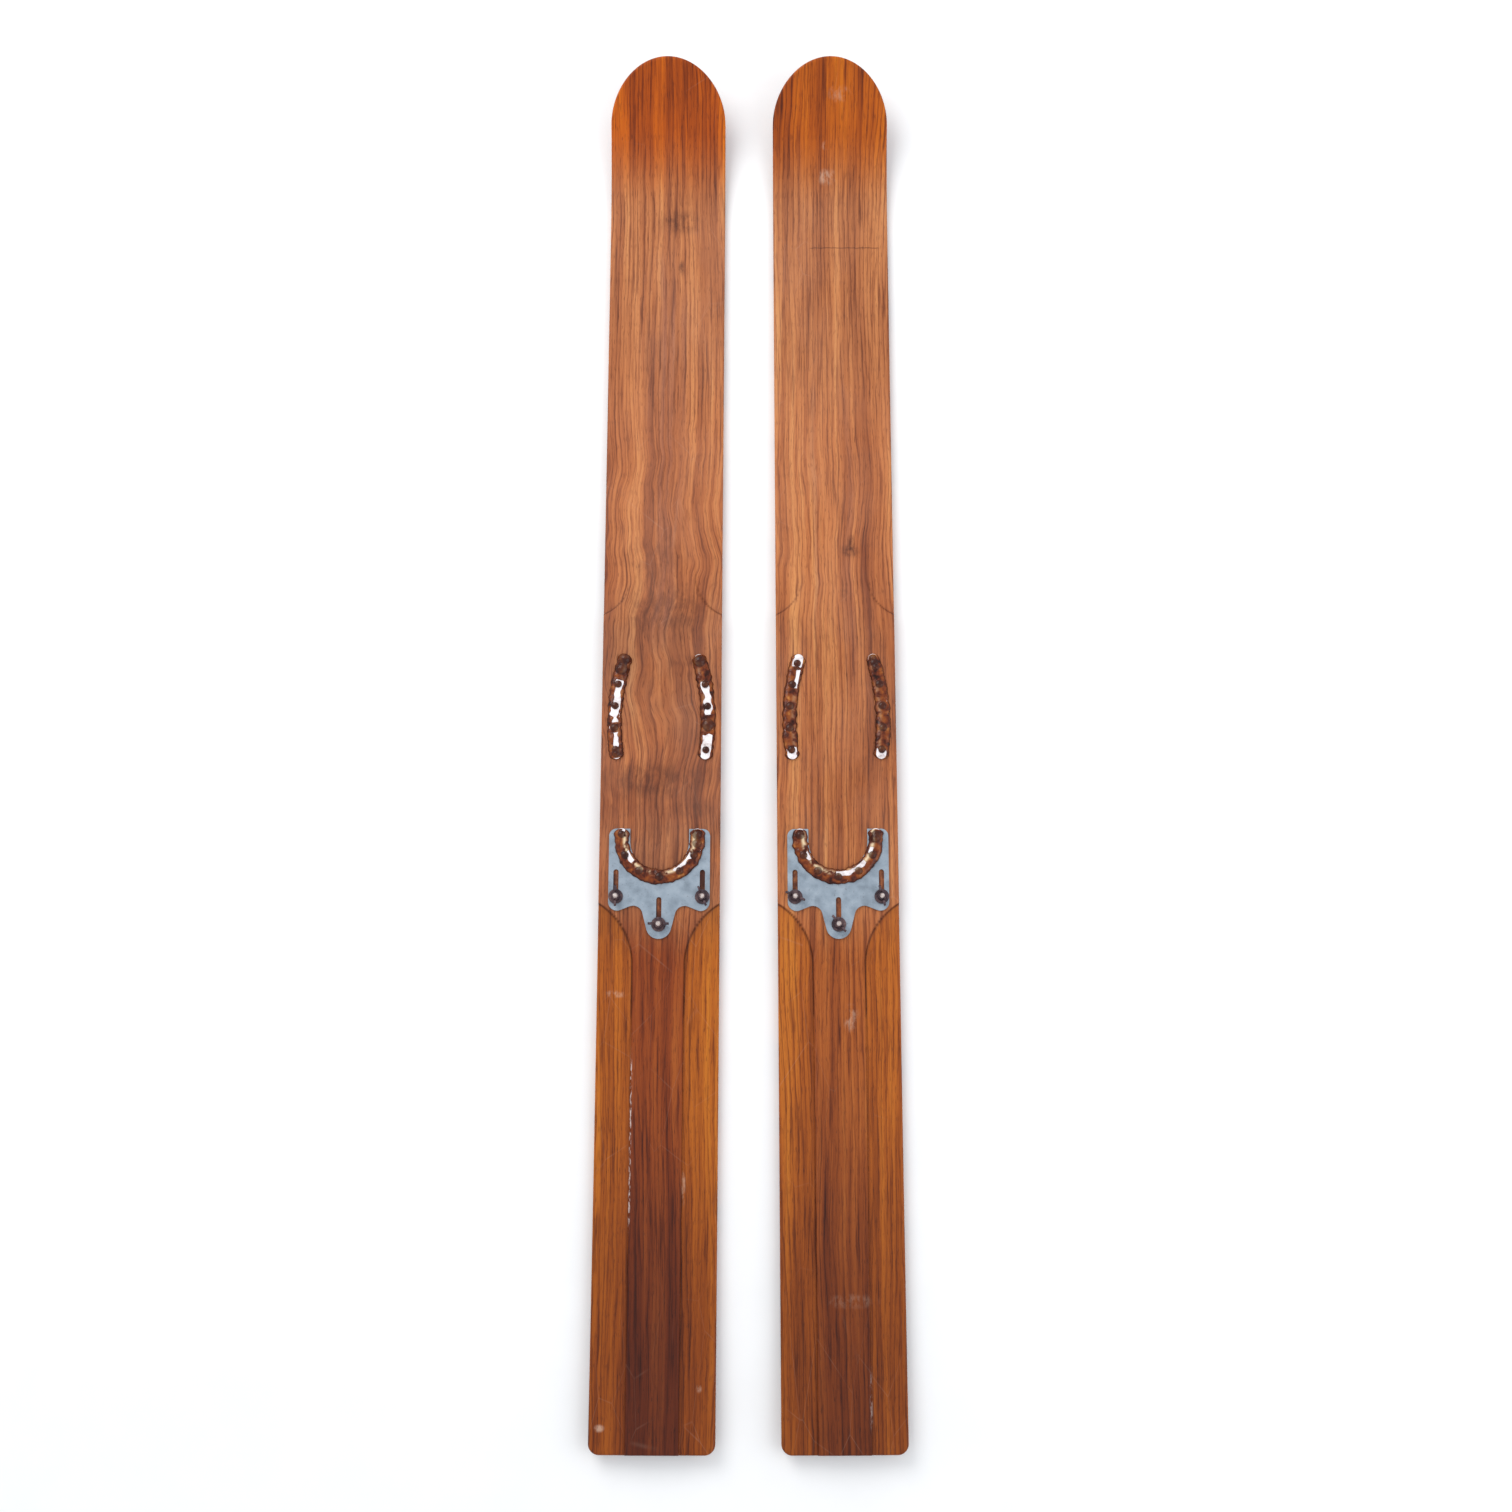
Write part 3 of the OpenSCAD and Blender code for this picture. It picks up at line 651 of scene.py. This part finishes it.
def board_mesh(name, side):
    """One smooth closed board: a top grid, a rounded rim, and a ladder of faces underneath."""
    xs = grid_columns()
    grid_y = grid_rows(xs)
    grid_x = np.broadcast_to(xs, grid_y.shape)
    top = np.stack([grid_x, grid_y, top_z(grid_x, grid_y)], axis=-1).reshape(-1, 3)
    index = np.arange(grid_y.size).reshape(grid_y.shape)
    # the rows of the round ends meet in the four corner points
    first, last = TAIL_ROWS, len(index) - TIP_ROWS - 1
    index[:first, [0, -1]] = index[first, [0, -1]]
    index[last + 1 :, [0, -1]] = index[last, [0, -1]]
    faces = [quads(index)]

    # perimeter of the top, counter-clockwise from the tail
    sides = index[first:last, -1], index[last:first:-1, 0]
    loop = np.concatenate([index[0, :-1], sides[0], index[-1, :0:-1], sides[1]])
    points, above = [top], loop
    count = len(top)
    for ring in rim_rings(top[loop]):
        below = count + np.arange(len(ring))
        faces.append(np.stack([above, below, np.roll(below, -1), np.roll(above, -1)], -1))
        points.append(ring)
        above = below
        count += len(ring)
    faces.append(rungs(index, loop, above, first, last))

    points, faces = without_spares(np.concatenate(points), np.concatenate(faces))
    mesh = bpy.data.meshes.new(name)
    mesh.from_pydata(points.tolist(), [], faces)
    mesh.validate()
    mesh.update()
    mesh.polygons.foreach_set("use_smooth", [True] * len(mesh.polygons))
    paint(mesh, points, side)
    return on_ski(name, mesh, side)


# scuffed stretch of the rib's edge on each ski: rear and front end, x, width, strength
SCUFFS = {
    -1: (-0.62, -0.40, 0.4 * MM - RIB_HALF, 0.9 * MM, 0.9),
    1: (-0.85, -0.77, RIB_HALF, 1.2 * MM, 0.4),
}


def paint(mesh, points, side):
    """Writes the darkening along the foot of the step lines and the wear of the arrises as mesh
    attributes.
    """
    x, y = points[:, 0], points[:, 1]
    on_top = points[:, 2] > top_z(x, y) - 4 * MM
    tail_share = np.where(y < REAR_RIB_Y - 0.06, 0.35, 1.0)
    # darker along the foot of the step, less so on the tail
    dirt = np.exp(-((rib_distance(x, y) - 0.8 * MM) / (1.1 * MM)) ** 2)
    dirt = dirt * platform_fade(y) * on_top * tail_share
    rear, front, scuff_x, width, strength = SCUFFS[side]
    span = smooth01((y - rear) / 0.02) * (1 - smooth01((y - front) / 0.03 + 1))
    wear = strength * np.exp(-((x - scuff_x) / width) ** 2) * span * on_top
    write_attributes(mesh, dirt=dirt, wear=wear, land=1 - raised_share(x, y))


# angles round a turned shape
ROUND = [2 * math.pi * i / 40 for i in range(40)]


def turned(name, side, profile):
    """Closed turned shapes at the three studs of a ski. profile(angle) gives (z, radius) pairs."""
    verts, faces = [], []
    m = len(ROUND)
    columns = [profile(angle) for angle in ROUND]
    for x, y in STUDS_AT:
        start = len(verts)
        for ring in zip(*columns):
            for angle, (z, r) in zip(ROUND, ring):
                verts.append((x + r * math.cos(angle), y + r * math.sin(angle), z))
        top = len(verts) - m
        for low in range(start, top, m):
            for i in range(m):
                a, b = low + i, low + (i + 1) % m
                faces.append((a, b, b + m, a + m))
        faces.append(tuple(range(start + m - 1, start - 1, -1)))
        faces.append(tuple(range(top, top + m)))
    mesh = bpy.data.meshes.new(name)
    mesh.from_pydata(verts, [], faces)
    mesh.update()
    return on_ski(name, mesh, side)


def hole_profile(angle):
    """Clearance hole of a stud, countersunk from below. It is the same at every angle."""
    clear = STUD_R + 0.05 * MM
    mouth = 2 * STUD_R + 0.35 * MM
    return [(-2 * MM, mouth + 0.3 * MM), (0.0, mouth), (STUD_SINK, clear), (30 * MM, clear)]


def cut_stud_holes(board, side):
    """Cuts the stud holes out of a board's mesh."""
    cutter = turned("cutter", side, hole_profile)
    holes = board.modifiers.new("stud_holes", "BOOLEAN")
    holes.operation = "DIFFERENCE"
    holes.object = cutter
    holes.solver = "EXACT"
    graph = bpy.context.evaluated_depsgraph_get()
    cut = bpy.data.meshes.new_from_object(board.evaluated_get(graph))
    board.modifiers.clear()
    board.data = cut
    bpy.data.objects.remove(cutter)


for ski, side in SIDES.items():
    board = board_mesh(ski + "_wood", side)
    cut_stud_holes(board, side)
    board.data.materials.clear()
    board.data.materials.append(wood_mats[ski])
    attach(board, ski + "_ski")
    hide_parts(ski + "_board")


# ---------- metal and rubber materials ----------

def galvanised(name):
    n = Nodes(name)
    spangle = n.cells(n.at, 90, "F1")
    mottle = n.noise(n.at, 60, 4, 0.6)
    cloud = n.noise(n.at, 14, 3, 0.6)
    colour = n.ramp(
        n.madd(n.sub(mottle, 0.5), 0.9, n.madd(spangle, 0.25, 0.38)),
        (0.15, (0.150, 0.185, 0.225)),
        (0.50, (0.270, 0.325, 0.385)),
        (0.90, (0.400, 0.460, 0.520)),
    )
    speck = n.step(n.noise(n.at, 420, 3, 0.6), 0.60, 0.72)
    colour = n.mix(n.mul(speck, 0.45), colour, (0.10, 0.08, 0.08))
    stain = n.step(n.noise(n.at, 34, 4, 0.65), 0.60, 0.78)
    colour = n.mix(n.mul(stain, 0.35), colour, (0.16, 0.10, 0.07))
    rough = n.madd(cloud, 0.25, 0.38)
    normal = n.bump(n.add(mottle, n.mul(speck, -0.4)), 0.0003, 0.35)
    return n.finish(colour, rough, normal, metal=0.35)


def rusty(name, seed):
    n = Nodes(name)
    at = n.stretched(1, 1, 1, seed)
    flake = n.noise(at, 260, 5, 0.65)
    broad = n.noise(at, 70, 3, 0.6)
    colour = n.ramp(
        n.madd(n.sub(broad, 0.5), 0.8, flake),
        (0.20, (0.018, 0.010, 0.014)),
        (0.48, (0.060, 0.034, 0.044)),
        (0.68, (0.130, 0.075, 0.075)),
        (0.88, (0.330, 0.220, 0.200)),
    )
    rough = n.madd(flake, 0.4, 0.32)
    normal = n.bump(flake, 0.0005, 0.7)
    return n.finish(colour, rough, normal, metal=0.35)


def worn_steel(name):
    n = Nodes(name)
    blotch = n.noise(n.at, 380, 4, 0.6)
    colour = n.ramp(
        blotch, (0.30, (0.16, 0.10, 0.09)), (0.48, (0.56, 0.46, 0.42)), (0.75, (0.86, 0.80, 0.77))
    )
    return n.finish(colour, n.madd(blotch, -0.3, 0.5), n.bump(blotch, 0.0002, 0.5), metal=0.6)


def bright_strip(name):
    n = Nodes(name)
    smear = n.noise(n.at, 190, 4, 0.65)
    broad = n.noise(n.at, 60, 3, 0.6)
    colour = n.ramp(
        n.madd(n.sub(broad, 0.5), 0.7, smear),
        (0.16, (0.30, 0.22, 0.20)),
        (0.34, (0.72, 0.64, 0.64)),
        (0.58, (0.95, 0.90, 0.92)),
    )
    rough = n.madd(smear, 0.35, 0.22)
    return n.finish(colour, rough, n.bump(smear, 0.0002, 0.4), metal=0.2)


def gummy(name, seed, cream):
    """Perished natural rubber, amber to black and glossy. cream: how strong its pale band is."""
    n = Nodes(name)
    at = n.stretched(1, 1, 1, seed)
    broad = n.noise(at, 105, 2, 0.5, 0.3)
    fine = n.noise(at, 380, 3, 0.5)
    colour = n.ramp(
        n.madd(n.sub(fine, 0.5), 0.16, broad),
        (0.28, (0.020, 0.004, 0.002)),
        (0.40, (0.080, 0.014, 0.005)),
        (0.50, (0.160, 0.032, 0.008)),
        (0.64, (0.270, 0.070, 0.012)),
        (0.80, (0.520, 0.210, 0.050)),
    )
    share = n.mul(n.mul(n.attribute("cream"), cream), n.step(broad, 0.42, 0.56))
    colour = n.mix(share, colour, (0.82, 0.66, 0.42))
    colour = n.mix(n.mul(n.attribute("dark"), 0.80), colour, (0.034, 0.009, 0.006))
    rough = n.madd(fine, 0.25, 0.10)
    normal = n.bump(n.madd(broad, 1.2, n.mul(fine, 0.25)), 0.0005, 0.22)
    return n.finish(colour, rough, normal, coat=0.1, specular=0.18)


def tarnished_brass(name):
    n = Nodes(name)
    mottle = n.noise(n.at, 300, 4, 0.6)
    colour = n.ramp(
        mottle, (0.3, (0.10, 0.055, 0.02)), (0.55, (0.32, 0.20, 0.07)), (0.8, (0.45, 0.31, 0.13))
    )
    return n.finish(colour, n.madd(mottle, 0.3, 0.25), n.bump(mottle, 0.0002, 0.4), metal=0.9)


FINISHES = {
    "zinc": galvanised("galvanised_sheet"),
    "bright": bright_strip("bright_strip"),
    "brass": tarnished_brass("tarnished_brass"),
    "screws": rusty("rusty_screws", 3.0),
    "steel": worn_steel("worn_steel"),
    "washers": rusty("rusty_washers", 7.0),
    "nuts": rusty("rusty_nuts", 9.0),
}
# by how the part's name starts: its finish, and the width of its softened edges or None
LOOK_OF = {
    "heel_plate": ("zinc", 0.4 * MM),
    "toe_strip": ("bright", 0.4 * MM),
    "heel_strip": ("bright", 0.4 * MM),
    "keel_screws": ("brass", None),
    "toe_screws": ("screws", None),
    "heel_rivets": ("screws", None),
    "washer": ("washers", 0.3 * MM),
    "wing_nut": ("nuts", 0.5 * MM),
}


def dress(o, material):
    """Puts a material on every slot of a CAD node and leaves its mesh alone."""
    for slot in o.material_slots:
        slot.link = "OBJECT"
        slot.material = material


def soften(o, width):
    bevel = o.modifiers.new("soft_edges", "BEVEL")
    bevel.width = width
    bevel.segments = 3
    bevel.limit_method = "ANGLE"
    bevel.angle_limit = math.radians(40)
    bevel.harden_normals = True


for node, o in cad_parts.items():
    ski, part = node.split("_", 1)
    if part == "keel":
        dress(o, wood_mats[ski])
    for start, (finish, width) in LOOK_OF.items():
        if part.startswith(start):
            dress(o, FINISHES[finish])
            if width:
                soften(o, width)


# ---------- perished rubber ----------

def lumps(s, t, seed):
    """Smooth pseudo-random lumps from a few fixed sine waves, about -1 to 1."""
    rng = np.random.default_rng(seed)
    total = np.zeros(np.broadcast(s, t).shape)
    weight = 0.0
    for _ in range(14):
        pitch = 2 * math.pi / rng.uniform(0.007, 0.026)
        turn = rng.uniform(0, 2 * math.pi)
        phase = rng.uniform(0, 2 * math.pi)
        size = 0.6 + rng.random()
        total = total + size * np.sin(pitch * (s * math.cos(turn) + t * math.sin(turn)) + phase)
        weight += size**2
    return total / math.sqrt(weight) * 0.8


# rubber caps over the fasteners, and how far the ends of a remnant taper
CAP_R, CAP_H, CAP_LIFT = 5.2 * MM, 2.6 * MM, 0.8 * MM
END_TAPER = 6.2 * MM


def blob(s, t, s0, t0, radius, foot, rise):
    """Half ball of rubber that starts at height foot, and 0 outside its radius."""
    d = np.hypot(s - s0, t - t0)
    return (foot + rise * np.sqrt(np.clip(1 - (d / radius) ** 2, 0, 1))) * (d < radius)


def bare_share(s, t, fastener_s, bare, seed):
    """1 where the metal shows through the rubber, with ragged edges and a collar at fasteners."""
    edge = 1.6 * MM * lumps(s, t, seed + 7)
    collar = np.minimum.reduce([np.hypot(s - fs, t) for fs in fastener_s]) - 4.4 * MM
    shown = np.zeros(edge.shape)
    for s0, s1, t0, t1 in np.array(bare) * MM:
        inside = np.minimum(np.minimum(s - s0, s1 - s), np.minimum(t - t0, t1 - t)) + edge
        inside = np.minimum(np.minimum(inside, collar), 1 * MM)
        shown = np.maximum(shown, smooth01(inside / (1 * MM) + 0.5))
    return shown


def rubber_height(s, t, u, ends, fastener_s, look):
    """Height of the skin. u is t as a share of its half width, and ends falls to 0 at both ends."""
    seed = look["seed"]
    strip_top = RUBBER_T + STRIP_T
    hump = (1 - np.abs(u) ** 3.2) ** 0.55
    height = (strip_top + 1.1 * MM) * hump * (0.55 + 0.45 * ends)
    rough = 0.30 * MM * lumps(s, t, seed + 2) + 0.05 * MM * lumps(s * 2.3, t * 2.3, seed + 3)
    height = height + rough * hump
    for fs in fastener_s:
        height = np.maximum(height, blob(s, t, fs, 0, CAP_R, strip_top + CAP_LIFT, CAP_H))
    for bs, bt, br, bh in np.array(look["big"]) * MM:
        height = np.maximum(height, blob(s, t, bs, bt, br, RUBBER_T, bh))
    shown = bare_share(s, t, fastener_s, look["bare"], seed)
    under_metal = (strip_top - 0.9 * MM) * np.minimum(1, hump * 1.2)
    return np.maximum(height * (1 - shown) + under_metal * shown, 0.3 * MM)


def skin(name, x, y, base, height):
    """Closed mesh of a skin that lies on base. Its points are the top grid, then the bottom."""
    top = np.stack([x, y, base + height], -1).reshape(-1, 3)
    low = np.stack([x, y, np.full(x.shape, base + 0.05 * MM)], -1).reshape(-1, 3)
    index = np.arange(x.size).reshape(x.shape)
    rim = np.concatenate([index[0, :-1], index[:-1, -1], index[-1, :0:-1], index[:0:-1, 0]])
    beside = np.roll(rim, -1)
    wall = np.stack([rim, beside, beside + x.size, rim + x.size], -1)
    faces = np.concatenate([quads(index)[:, ::-1], quads(index) + x.size, wall])
    mesh = bpy.data.meshes.new(name)
    mesh.from_pydata(np.concatenate([top, low]).tolist(), [], faces.tolist())
    mesh.update()
    mesh.polygons.foreach_set("use_smooth", [True] * len(mesh.polygons))
    return mesh


def remnant(name, path, length, base, fastener_s, look, side, cream):
    """A skin of rubber over and beside a strip. path(s, t) gives x and y in the ski frame, s runs
    along the strip from 0 to length, and t across it."""
    seed = look["seed"]
    s = np.linspace(0, length, int(length / (0.7 * MM)))[:, None]
    u = np.linspace(-1, 1, 41)[None, :]
    half = RUBBER_W / 2 * (1 + 0.08 * lumps(s, 0, seed) + 0.05 * lumps(s * 2, 0, seed + 1))
    ends = np.maximum(END_TAPER - s, s - length + END_TAPER).clip(0) / END_TAPER
    ends = np.sqrt(np.clip(1 - ends**2, 0, 1))
    t = np.maximum(half * ends, 0.4 * MM) * u
    x, y = np.broadcast_arrays(*path(s, t))
    mesh = skin(name, x, y, base, rubber_height(s, t, u, ends, fastener_s, look))
    dark = smooth01((np.abs(u) - 0.72) / 0.25) * 0.9 + 0 * s
    for fs in fastener_s:
        dark = np.maximum(dark, 0.95 * smooth01((5.6 * MM - np.hypot(s - fs, t)) / (1.2 * MM)))
    for bs, bt, br, _ in np.array(look["big"]) * MM:
        dark = np.maximum(dark, 0.8 * smooth01((br - np.hypot(s - bs, t - bt)) / (1.2 * MM)))
    inner_edge = np.exp(-((u + 0.42) / 0.22) ** 2) + 0 * s
    write_attributes(mesh, dark=np.tile(dark.ravel(), 2), cream=np.tile(inner_edge.ravel(), 2))
    mesh.materials.append(gummy(name, seed * 1.3, cream))
    return on_ski(name, mesh, side)


def toe_path(x_side):
    """Path along a toe strip from its rear end to its front end."""
    def at(s, t):
        angle = math.radians(TOE_REAR) + s / TOE_R
        r = TOE_R + t
        return x_side * (TOE_HALF - TOE_R + r * np.cos(angle)), TOE_Y + r * np.sin(angle)
    return at


TOE_LENGTH = math.radians(TOE_FRONT - TOE_REAR) * TOE_R
toe_screw_s = [TOE_LENGTH / 2 + (i - 2) * SCREW_GAP for i in range(5)]

# in millimetres: bare patches (s0, s1, t0, t1) where the metal shows, and big glossy lumps
# (s, t, radius, height)
TOE_LOOKS = {
    "left_toe_rubber_outer": dict(
        bare=[(46, 101, -5.5, 3.5), (14, 34, -4, 2)],
        big=[(129, 0, 8.2, 6.8), (116, 0, 8.5, 6.4), (7, 0, 6, 5.2)],
        seed=11,
    ),
    "left_toe_rubber_inner": dict(
        bare=[(56, 99, -4, 4.8), (-2, 31, -6.2, 6.2)],
        big=[(127, 0, 8.5, 6.8), (44, 0, 8.5, 5.8)],
        seed=23,
    ),
    "right_toe_rubber_inner": dict(
        bare=[(119, 138, -5.8, 5.8), (92, 116, -6.2, -0.5), (-2, 13, -6.2, 6.2)],
        big=[(118, 0, 4.5, 5)],
        seed=37,
    ),
    "right_toe_rubber_outer": dict(
        bare=[(-2, 12, -6.2, 6.2)],
        big=[(130, 0, 5.5, 5.5), (118, 0, 5.5, 6)],
        seed=41,
    ),
}


def shoe_path(s, t):
    """Path along the horseshoe from its left front end to its right front end."""
    quarter = SHOE_R * math.pi / 2
    v = s - SHOE_LEG - quarter
    angle = -math.pi / 2 + np.clip(v, -quarter, quarter) / SHOE_R
    leg = np.sign(v) * np.maximum(np.abs(v) - quarter, 0)
    r = SHOE_R + t
    x = r * np.cos(angle)
    y = r * np.sin(angle) + np.abs(leg)
    return x, PLATE_Y - SHOE_LEG + y


SHOE_LENGTH = 2 * SHOE_LEG + math.pi * SHOE_R
rivet_s = [SHOE_LENGTH / 2 + (i - 3) * RIVET_GAP for i in range(7)]
SHOE_LOOKS = {
    "left_heel_rubber": dict(
        bare=[(1, 10, -4.5, 4.5), (30, 46, -6.2, -1.5), (100, 140, -6.2, -2.5)],
        big=[(166, 0, 7, 7), (155, 0, 6.5, 6)],
        seed=53,
    ),
    "right_heel_rubber": dict(
        bare=[(32, 44, -5.8, -2), (85, 128, -6.2, -1.2), (140, 150, -6.2, -1)],
        big=[(8, 0, 6.5, 6.5), (162, 0, 7.2, 6.6)],
        seed=67,
    ),
}

for node, look in TOE_LOOKS.items():
    ski = node.split("_")[0]
    side = SIDES[ski]
    x_side = side if node.endswith("outer") else -side
    o = remnant(
        node.replace("toe_rubber", "toe_gum"), toe_path(x_side), TOE_LENGTH, PLATFORM_H,
        toe_screw_s, look, side, 0.12,
    )
    if x_side < 0:
        o.data.flip_normals()
    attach(o, ski + "_ski")
    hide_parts(node)

for node, look in SHOE_LOOKS.items():
    ski = node.split("_")[0]
    o = remnant(
        ski + "_heel_gum", shoe_path, SHOE_LENGTH, PLATE_TOP,
        rivet_s, look, SIDES[ski], 0.85,
    )
    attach(o, ski + "_heel")
    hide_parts(node)


# ---------- threaded studs ----------

def stud_profile(angle):
    """Countersunk head, plain shank and M6 thread of a stud, seen at one angle."""
    pitch, depth, chamfer, step = 1 * MM, 0.55 * MM, 0.8 * MM, 0.125 * MM
    head_r = 2 * STUD_R
    start = PLATE_TOP + 1.2 * MM
    column = [(0.3 * MM, head_r - 0.2 * MM), (0.5 * MM, head_r), (STUD_SINK, STUD_R), (start, STUD_R)]
    for k in range(1, int((STUD_TOP - chamfer - start) / step) + 1):
        z = start + k * step
        phase = (z / pitch - angle / (2 * math.pi)) % 1
        column.append((z, STUD_R - depth * abs(2 * phase - 1)))
    column.append((STUD_TOP, STUD_R - depth - 0.4 * MM))
    return column


for ski, side in SIDES.items():
    studs = turned(ski + "_threaded_studs", side, stud_profile)
    studs.data.materials.append(FINISHES["steel"])
    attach(studs, ski + "_ski")
    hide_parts(ski + "_studs")


# ---------- floor ----------

def pale_floor():
    n = Nodes("pale_floor")
    grain = n.noise(n.at, 9, 4, 0.6)
    colour = n.ramp(grain, (0.3, (0.875, 0.875, 0.875)), (0.7, (0.90, 0.90, 0.90)))
    return n.finish(colour, 0.85)


bpy.ops.mesh.primitive_plane_add(size=30, location=(0, 0, -0.5 * MM))
floor = bpy.context.object
floor.name = "floor"
floor.data.materials.append(pale_floor())
